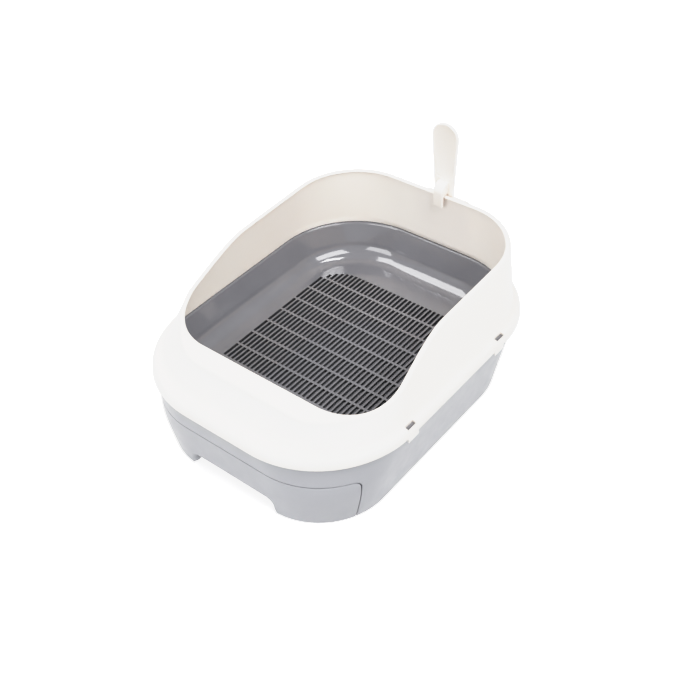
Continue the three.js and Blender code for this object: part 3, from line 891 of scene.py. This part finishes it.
def drawer_webs():
    """Two ribs that tie the drawer's front to its tray."""
    pieces = []
    for side in (-1, 1):
        beyond = WEB_X - (TRAY.half_width - TRAY.front_radius)
        back = TRAY.front_radius - math.sqrt(TRAY.front_radius**2 - beyond**2)
        front = front_y(WEB_X + WEB_THICKNESS, WEB_FOOT, 1.5)
        half = WEB_THICKNESS / 2
        low = (side * WEB_X - half, front, WEB_FOOT)
        high = (side * WEB_X + half, TRAY.front + back + TRAY_WALL / 2, WEB_TOP)
        pieces.append(rounded_box(low, high, 0.4))
    obj = placed("drawer_ribs", joined("drawer_ribs", pieces))
    smooth(obj)
    return obj


def make_base_and_drawer():
    dress(base_wall(), SILVER_GREY, "silver_grey_plastic", "base", "base_shell")
    dress(base_inside(), SILVER_GREY, "silver_grey_plastic", "base")
    dress(drawer_panel(), SILVER_GREY, "silver_grey_plastic", "drawer", "drawer")
    dress(drawer_tray(), SILVER_GREY, "silver_grey_plastic", "drawer")
    dress(drawer_webs(), SILVER_GREY, "silver_grey_plastic", "drawer")


# ---- sieve pan


def sieve_slots():
    """The slots' (x, front, back). The field's corners are round, so its outer slots are shorter."""
    half_field = SLOT_COLUMNS * SLOT_PITCH / 2
    length = ROW_PITCH - CROSSBAR
    slots = []
    for column in range(SLOT_COLUMNS):
        x = (column - (SLOT_COLUMNS - 1) / 2) * SLOT_PITCH
        into_corner = max(0.0, SIEVE_CORNER - (half_field - abs(x)))
        shortfall = SIEVE_CORNER - math.sqrt(SIEVE_CORNER**2 - into_corner**2)
        field_back = SIEVE_BACK - shortfall
        field_front = SIEVE_BACK - SLOT_ROWS * ROW_PITCH + CROSSBAR + shortfall
        for row in range(SLOT_ROWS):
            back = min(SIEVE_BACK - row * ROW_PITCH, field_back)
            front = max(SIEVE_BACK - row * ROW_PITCH - length, field_front)
            if back - front >= SHORTEST_SLOT:
                slots.append((x, front, back))
    return slots


def slot_outline(slot, growth):
    """A slot with square ends and slightly eased corners."""
    x, front, back = slot
    half = SLOT_WIDTH / 2 + growth
    low = (x - half, front - growth)
    return rounded_rectangle(low, (x + half, back + growth), SLOT_CORNER + growth, steps=3)


def plate_with_slots(rim, slots, growth, z, upwards):
    """Flat faces between a rim and the slots."""
    loops = [[Vector((x, y, 0)) for x, y in rim]]
    for slot in slots:
        loops.append([Vector((x, y, 0)) for x, y in slot_outline(slot, growth)])
    triangles = tessellate_polygon(loops)
    points = [(vector.x, vector.y, z) for loop in loops for vector in loop]
    faces = []
    for a, b, c in triangles:
        pa, pb, pc = points[a], points[b], points[c]
        area = (pb[0] - pa[0]) * (pc[1] - pa[1]) - (pc[0] - pa[0]) * (pb[1] - pa[1])
        if abs(area) > 1e-6:
            faces.append((a, b, c) if (area > 0) == upwards else (a, c, b))
    return make_mesh("plate", points, faces)


def slot_walls(slots):
    """Each slot's walls: a rounded upper edge, then wider and wider, so that nothing jams in it."""
    section = []
    for angle in np.radians(np.linspace(0, 90, 4)):
        growth = SLOT_EDGE * (1 - math.sin(angle))
        section.append((growth, SIEVE_Z - SLOT_EDGE * (1 - math.cos(angle))))
    section.append((SLOT_DRAFT, SIEVE_Z - SIEVE_DEPTH))
    points = []
    faces = []
    for slot in slots:
        rings = []
        for growth, z in section:
            rings.append([(x, y, z) for x, y in slot_outline(slot, growth)])
        count = len(rings[0])
        offset = len(points)
        for level in rings:
            points += level
        for face in loft_faces(len(rings), count, closed=False):
            faces.append(tuple(offset + index for index in face))
    return make_mesh("slot_walls", points, faces)


def smooth_section(section, steps):
    """Points of a smooth curve through a section's points."""
    lengths = np.concatenate([[0], np.cumsum(np.linalg.norm(np.diff(section, axis=0), axis=1))])
    places = []
    for start, end in zip(lengths[:-1], lengths[1:]):
        count = max(2, int(steps * (end - start) / lengths[-1]))
        places += list(np.linspace(start, end, count, endpoint=False))
    places.append(lengths[-1])
    axes = [[point[axis] for point in section] for axis in range(2)]
    return [(through(place, lengths, axes[0]), through(place, lengths, axes[1])) for place in places]


def in_slot(polygon):
    """Whether a face of the pan, in metres, is part of a slot's wall, which gets the painted shade."""
    x, y, z = polygon.center / MM
    beside_sieve = abs(x) > SLOT_COLUMNS * SLOT_PITCH / 2 or y > SIEVE_BACK + 1
    return abs(polygon.normal.z) < 0.6 and z < SIEVE_Z - SLOT_EDGE / 2 and not beside_sieve


def sieve_pan():
    steps = dict(arc=30, side=16, end=10)
    flange_edge = [
        (0, PAN_RIM_Z - FLANGE_THICKNESS),
        (0.25, PAN_RIM_Z - FLANGE_THICKNESS + 0.15),
        (0.25, PAN_RIM_Z - 0.9),
        (0, PAN_RIM_Z - 0.4),
        (-0.45, PAN_RIM_Z - 0.08),
        (-1, PAN_RIM_Z),
    ]
    outside = smooth_section(PAN_OUTSIDE, 40)
    wall = smooth_section(PAN_INSIDE[1:], 60)
    rings = [ring(grown(PAN_RIM, -inset, z), **steps) for inset, z in outside]
    rings += [ring(grown(FLANGE, distance - 0.25, z), **steps) for distance, z in flange_edge]
    rim = arc_points(PAN_INSIDE[1][0] - 3, PAN_RIM_Z - 3, 3, 90, 20, 6)
    rings += [ring(grown(PAN_RIM, -inset, z), **steps) for inset, z in rim]
    rings += [ring(grown(PAN_RIM, -inset, z), **steps) for inset, z in wall]
    floor = grown(PAN_RIM, -PAN_INSIDE[-1][0] - 1.5, SIEVE_Z)
    rings.append(ring(floor, **steps))
    body = lofted("pan_wall", rings)
    slots = sieve_slots()
    top = plate_with_slots(outline(floor, **steps)[0], slots, SLOT_EDGE, SIEVE_Z, True)
    underside = grown(PAN_RIM, -PAN_OUTSIDE[0][0], 0)
    bottom_z = SIEVE_Z - SIEVE_DEPTH
    bottom = plate_with_slots(outline(underside, **steps)[0], slots, SLOT_DRAFT, bottom_z, False)
    mesh = joined("sieve_pan", [body, top, bottom, slot_walls(slots)])
    outwards(mesh, merge=0.01)
    obj = placed("sieve_pan_fine", mesh)
    smooth(obj, 14)
    dress(obj, GLOSSY_GREY, "glossy_grey_plastic", "pan", "sieve_pan")
    # The slots' walls get the second material, painted shade that darkens them where the slots lie in
    # shade.
    obj.data.materials.append(SLOT_PAINTED_SHADE)
    for polygon in obj.data.polygons:
        if in_slot(polygon):
            polygon.material_index = 1


# ---- hood


def edge_height(y):
    slope = (EDGE_BACK_Z - EDGE_SIDE_Z) / (EDGE.back - RISE_END_Y)
    high = EDGE_SIDE_Z + slope * (y - RISE_END_Y)
    t = np.clip((y - RISE_START_Y) / (RISE_END_Y - RISE_START_Y), 0, 1)
    return EDGE_FRONT_Z + (high - EDGE_FRONT_Z) * t * t * (3 - 2 * t)


def lip_width(x, y):
    """A narrow lip on the sides and back that widens into a landing across the front."""
    t = np.clip((np.abs(x) - STEP_FLAT_X) / (STEP_END_X - STEP_FLAT_X), 0, 1)
    landing = LIP_WIDTH + STEP_WIDTH * (1 - t * t * (3 - 2 * t))
    return np.where(y < EDGE.front + EDGE.front_radius, landing, LIP_WIDTH)


def edge_line(distance, below):
    points, normals = outline(EDGE)
    x, y = points[:, 0], points[:, 1]
    z = edge_height(y)
    wide = 1 + EDGE_LEAN * (EDGE_BACK_Z - z) / EDGE.half_width
    width = lip_width(x, y)
    out = width + distance if distance < 0 else np.full(len(x), float(distance))
    fall = STEP_FALL * (width - LIP_WIDTH) * out / width
    return np.column_stack([x * wide + out * normals[:, 0], y + out * normals[:, 1], z - fall - below])


def hood_tabs():
    """The four snap tabs under the skirt, rooted 3 mm up in it."""
    tabs = []
    for side in (-1, 1):
        for y in TAB_Y:
            low = (y - TAB_LENGTH / 2, SKIRT.z - TAB_DROP)
            shape = rounded_rectangle(low, (y + TAB_LENGTH / 2, SKIRT.z + 3), 1.5)
            edges = sorted((side * (SKIRT.half_width - TAB_THICKNESS), side * (SKIRT.half_width - 0.15)))
            tabs.append(prism("tab", shape, "x", *edges))
    return joined("tabs", tabs)


def hood_windows():
    """What is cut out of the shoulder above each tab."""
    windows = []
    for side in (-1, 1):
        for y in WINDOW_Y:
            low = (side * WINDOW_X - WINDOW_WIDTH / 2, y - WINDOW_LENGTH / 2)
            high = (side * WINDOW_X + WINDOW_WIDTH / 2, y + WINDOW_LENGTH / 2)
            shape = rounded_rectangle(low, high, 1.2)
            windows.append(prism("window", shape, "z", SKIRT.z, SKIRT.z + WINDOW_HEIGHT))
    return joined("windows", windows)


def hood():
    lines = [ring(level) for level in SHOULDER]
    lines += [edge_line(distance, below) for distance, below in EDGE_SECTION]
    lines += [ring(level) for level in SHOULDER_INSIDE]
    mesh = lofted("hood", rounded(lines, 2.2), closed=True)
    outwards(mesh)
    obj = placed("hood_fine", mesh)
    combined(obj, hood_tabs(), "UNION")
    combined(obj, hood_windows(), "DIFFERENCE")
    smooth(obj)
    dress(obj, WHITE, "white_plastic", "hood", "hood")


# ---- scoop


def handle_outline(inset):
    radius = HANDLE_TOP_RADIUS - inset
    foot = HANDLE_FOOT_HALF_WIDTH - inset
    points = arc_points(0, HANDLE_TOP_Z - HANDLE_TOP_RADIUS, radius, 0, 180, 36)
    top_x, top_z = points[-1]
    left = []
    for t in np.linspace(0, 1, 13)[1:]:
        left.append((top_x + (-foot - top_x) * t, top_z + (HANDLE_STRAIGHT_Z - top_z) * t))
    left.append((-foot, HANDLE_FOOT_Z + inset))
    right = [(-x, z) for x, z in reversed(left)]
    return points + left + right


def dish_outline(inset):
    """The dish's edge: the handle's outline moved in, closed by a round foot."""
    radius = HANDLE_TOP_RADIUS - inset
    top_z = HANDLE_TOP_Z - HANDLE_TOP_RADIUS
    taper = (HANDLE_TOP_RADIUS - HANDLE_FOOT_HALF_WIDTH) / (top_z - HANDLE_STRAIGHT_Z)
    corner = 5
    foot_z = DISH_FOOT_Z + inset - DISH_RIM
    half = radius - taper * (top_z - foot_z)
    points = arc_points(0, top_z, radius, 0, 180, 36)
    points += arc_points(-half + corner, foot_z + corner, corner, 180, 270, 8)
    points += arc_points(half - corner, foot_z + corner, corner, 270, 360, 8)
    return points


def handle_blank(front, back):
    """The handle's plate with rounded edges."""
    edge = 1.2
    section = []
    for angle in np.radians(np.linspace(90, 0, 5)):
        section.append((edge * (1 - math.cos(angle)), back - edge * (1 - math.sin(angle))))
    for angle in np.radians(np.linspace(0, 90, 5)):
        section.append((edge * (1 - math.cos(angle)), front + edge * (1 - math.sin(angle))))
    rings = [np.array([(x, y, z) for x, z in handle_outline(inset)]) for inset, y in section]
    mesh = lofted("handle", rings, caps=True)
    outwards(mesh)
    return mesh


def dish_cutter(front):
    """What is cut out of the handle's front, with a rolled rim."""
    roll = 0.8
    section = [(DISH_RIM - roll, front - 1)]
    for angle in np.radians(np.linspace(0, 90, 5)):
        growth = roll * (1 - math.sin(angle))
        section.append((DISH_RIM - growth, front + roll * (1 - math.cos(angle))))
    section.append((DISH_RIM + 0.2, front + DISH_DEPTH - 0.3))
    section.append((DISH_RIM + 0.9, front + DISH_DEPTH))
    rings = [np.array([(x, y, z) for x, z in dish_outline(inset)]) for inset, y in section]
    mesh = lofted("dish", rings, caps=True)
    outwards(mesh)
    return mesh


def scoop_handle():
    front = HANDLE_Y - HANDLE_THICKNESS / 2
    obj = placed("scoop_handle", handle_blank(front, HANDLE_Y + HANDLE_THICKNESS / 2))
    combined(obj, dish_cutter(front), "DIFFERENCE")
    return obj


def hook_mesh():
    """The hook's strap: a leg inside the hood's wall, bent over its edge into the handle."""
    seat_z = EDGE_BACK_Z + GAP
    radius = HANDLE_Y - HANDLE_THICKNESS / 2 - HOOK_INNER_Y
    section = [
        (HOOK_INNER_Y, HOOK_LEG_FOOT_Z),
        (HOOK_INNER_Y + HOOK_LEG_THICKNESS, HOOK_LEG_FOOT_Z),
        (HOOK_INNER_Y + HOOK_LEG_THICKNESS, seat_z),
        (HANDLE_Y, seat_z),
        (HANDLE_Y, HOOK_BEND_Z + radius),
    ]
    section += arc_points(HOOK_INNER_Y + radius, HOOK_BEND_Z, radius, 90, 180, 20)
    obj = placed("hook", prism("hook", section, "x", -HOOK_HALF_WIDTH, HOOK_HALF_WIDTH))
    bevelled(obj, 1.2, segments=4, angle=30)
    mesh = obj.data
    bpy.data.objects.remove(obj)
    return mesh


def bowl_ring(level, inset, depth):
    shoulder_x = level.half_width - BOWL_SHOULDER
    shoulder_z = level.top_z - BOWL_SHOULDER
    tip_x = level.tip_half_width - BOWL_TIP
    tip_z = level.bottom_z + BOWL_TIP
    points = arc_points(tip_x, tip_z, BOWL_TIP - inset, -90, -6, 8)
    points += arc_points(shoulder_x, shoulder_z, BOWL_SHOULDER - inset, 0, 86, 10)
    points += arc_points(-shoulder_x, shoulder_z, BOWL_SHOULDER - inset, 94, 180, 10)
    points += arc_points(-tip_x, tip_z, BOWL_TIP - inset, 186, 270, 8)
    return np.array([(x, level.y + depth, z) for x, z in points])


def bowl_levels():
    """The bowl's levels, with smooth ones between them."""
    depths = [-level.y for level in BOWL_LEVELS]
    result = []
    for start, end in zip(depths[:-1], depths[1:]):
        result += list(np.linspace(start, end, 4, endpoint=False))
    result.append(depths[-1])
    levels = []
    for depth in result:
        values = [through(depth, depths, [level[key] for level in BOWL_LEVELS]) for key in range(1, 5)]
        levels.append(BowlLevel(-depth, *values))
    return levels


def bowl_slots(back):
    slots = []
    for index in range(BOWL_SLOT_COUNT):
        x = (index - (BOWL_SLOT_COUNT - 1) / 2) * BOWL_SLOT_PITCH
        low = (x - BOWL_SLOT_WIDTH / 2, BOWL_SLOT_FOOT_Z)
        high = (x + BOWL_SLOT_WIDTH / 2, BOWL_SLOT_TOP_Z)
        shape = rounded_rectangle(low, high, BOWL_SLOT_WIDTH * 0.45)
        slots.append(prism("slot", shape, "y", back - BOWL_WALL - 4, back + 4))
    return joined("slots", slots)


def scoop_bowl():
    front = HANDLE_Y - HANDLE_THICKNESS / 2
    back = BOWL_LEVELS[0].y
    outside = [bowl_ring(level, 0, 0) for level in bowl_levels()]
    inside = [bowl_ring(level, BOWL_WALL, -BOWL_WALL) for level in bowl_levels()]
    shell = lofted("bowl", outside, caps=True)
    outwards(shell)
    hollow = lofted("hollow", inside, caps=True)
    outwards(hollow)
    fall_away = [
        (front - PAST, BOWL_SIDE_TOP),
        (front, BOWL_SIDE_TOP),
        (back - 10, BOWL_CUT_Z),
        (back - 5, BOWL_CUT_FOOT_Z),
        (front - PAST, BOWL_CUT_FOOT_Z),
    ]
    reach = BOWL_CUT_HALF_WIDTH
    obj = placed("scoop_bowl", shell)
    combined(obj, hollow, "DIFFERENCE")
    combined(obj, prism("fall_away", fall_away, "x", -reach, reach), "DIFFERENCE")
    combined(obj, bowl_slots(back), "DIFFERENCE")
    return obj


def scoop():
    obj = scoop_handle()
    bowl = scoop_bowl()
    combined(obj, bowl.data.copy(), "UNION")
    bpy.data.objects.remove(bowl)
    combined(obj, hook_mesh(), "UNION")
    obj.data.transform(Matrix.Translation(Vector((SCOOP_X, 0, 0)) * MM))
    smooth(obj)
    dress(obj, WHITE, "white_plastic", "scoop", "scoop")


# ---- rubber pads


def rubber_pad(name, place):
    """A turned pad with a rounded rim and two shallow grooves in its sole."""
    edge = 0.6
    section = [(2, 0.5), (2.4, 0.05), (4.6, 0.05), (5, 0.5), (5.8, 0.5), (6.2, 0), (PAD_RADIUS - edge, 0)]
    section += arc_points(PAD_RADIUS - edge, edge, edge, -90, 0, 4)[1:]
    section += [(PAD_RADIUS, PAD_THICKNESS - 0.2), (PAD_RADIUS - 0.2, PAD_THICKNESS)]
    angles = np.radians(np.arange(0, 360, 7.5))
    rings = []
    for radius, z in section:
        rings.append(np.array([(radius * math.cos(a), radius * math.sin(a), z) for a in angles]))
    mesh = lofted(name, rings, caps=True)
    outwards(mesh)
    obj = placed(name + "_fine", mesh, (*place, 0))
    smooth(obj)
    dress(obj, RUBBER, "grey_rubber", "base", name)


# ---- studio

FLOOR = 20000  # half the floor's width, in millimetres; the rest of this section is in metres and watts
FLOOR_EMISSION = 1.1
TENT_BRIGHTEST = (0.25, -0.35, 0.9)  # direction
TENT_STRENGTH = (0.56, 0.88)  # at right angles to that direction and below, and along it
WHITE_LEVEL = 1.9

# The tone curve's points: light from a surface, and how bright it is shown.
TONE_CURVE = [
    (0.25, 0.25),
    (0.5, 0.51),
    (0.7, 0.69),
    (0.9, 0.815),
    (1.1, 0.875),
    (1.4, 0.9),
    (1.7, 0.925),
]


def studio_floor():
    """White paper that also glows, so that it stays white. Diffuse surfaces get no light from it."""
    corners = [(-FLOOR, -FLOOR, 0), (FLOOR, -FLOOR, 0), (FLOOR, FLOOR, 0), (-FLOOR, FLOOR, 0)]
    mesh = make_mesh("floor", corners, [(0, 1, 2, 3)])
    obj = placed("studio_floor", mesh)
    material, shader = principled("studio_paper", 0.9, specular=0.1)
    tree = material.node_tree
    tone = tinted(tree, noise(tree, 3), (0.93, 0.93, 0.93), (0.95, 0.95, 0.95))
    tree.links.new(tone, shader.inputs["Base Color"])
    tree.links.new(tone, shader.inputs["Emission Color"])
    shader.inputs["Emission Strength"].default_value = FLOOR_EMISSION
    mesh.materials.append(material)
    obj.visible_diffuse = False


def softbox(name, place, target, size, power, colour=(1, 1, 1), glints_only=False):
    """A rectangular light. One for glints only is unseen by diffuse surfaces."""
    light = bpy.data.lights.new(name, "AREA")
    light.shape = "RECTANGLE"
    light.size, light.size_y = size
    light.energy = power
    light.color = colour
    obj = bpy.data.objects.new(name, light)
    bpy.context.scene.collection.objects.link(obj)
    direction = Vector(target) - Vector(place)
    turn = direction.to_track_quat("-Z", "Y").to_matrix().to_4x4()
    obj.matrix_world = Matrix.Translation(place) @ turn
    obj.visible_diffuse = not glints_only


def studio():
    studio_floor()
    tent()
    softbox("front", (-0.3, -2.4, 1.35), (0, 0, 0.15), (1.8, 1.2), 29)
    softbox("left", (-2.1, 0.5, 1.6), (0, 0, 0.2), (1.2, 1.2), 30, colour=(1, 0.9, 0.82))
    softbox("side", (1.6, -0.3, 2.1), (0, 0, 0.15), (1.8, 1.2), 42)
    softbox("glint_back", (-0.75, 0.05, 1.5), (0.0, 0.2, 0.1), (1.35, 0.45), 11, glints_only=True)
    softbox("glint_corner", (0.2, 0.33, 1.5), (-0.15, 0.16, 0.1), (0.26, 0.42), 4, glints_only=True)


def tent():
    """Soft white light from all round, brightest overhead and towards the front right."""
    world = bpy.data.worlds.new("tent")
    world.use_nodes = True
    tree = world.node_tree
    direction = tree.nodes.new("ShaderNodeTexCoord")
    towards = tree.nodes.new("ShaderNodeVectorMath")
    towards.operation = "DOT_PRODUCT"
    towards.inputs[1].default_value = TENT_BRIGHTEST
    strength = tree.nodes.new("ShaderNodeMapRange")
    strength.inputs["From Min"].default_value = 0
    strength.inputs["From Max"].default_value = 0.9
    strength.inputs["To Min"].default_value = TENT_STRENGTH[0]
    strength.inputs["To Max"].default_value = TENT_STRENGTH[1]
    tree.links.new(direction.outputs["Generated"], towards.inputs[0])
    tree.links.new(towards.outputs["Value"], strength.inputs["Value"])
    tree.links.new(strength.outputs["Result"], tree.nodes["Background"].inputs["Strength"])
    tree.nodes["Background"].inputs["Color"].default_value = (1, 1, 1, 1)
    bpy.context.scene.world = world


def camera():
    """The view's place and axes, in the object's frame."""
    data = bpy.data.cameras.new("camera")
    data.sensor_width = 36
    data.lens = 53.9
    obj = bpy.data.objects.new("camera", data)
    bpy.context.scene.collection.objects.link(obj)
    right = Vector((0.78285, 0.62079, -0.04214))
    up = Vector((-0.38736, 0.53924, 0.74778))
    back = Vector((0.48693, -0.56907, 0.66261))
    place = Vector((0.7321, -0.8462, 1.0763))
    turn = Matrix((right, up, back)).transposed().to_4x4()
    obj.matrix_world = Matrix.Translation(place) @ turn
    bpy.context.scene.camera = obj


def tone_curve():
    """A camera's tone curve: bright whites roll off gently instead of clipping."""
    view = bpy.context.scene.view_settings
    view.view_transform = "Standard"
    view.use_curve_mapping = True
    mapping = view.curve_mapping
    mapping.white_level = (WHITE_LEVEL, WHITE_LEVEL, WHITE_LEVEL)
    all_channels = mapping.curves[3]
    for light, shown in TONE_CURVE:
        all_channels.points.new(light / WHITE_LEVEL, shown)
    mapping.update()


make_base_and_drawer()
sieve_pan()
hood()
scoop()
for pad_name, pad_place in PAD_PLACES.items():
    rubber_pad(pad_name, pad_place)
studio()
camera()
tone_curve()

bpy.context.view_layer.update()
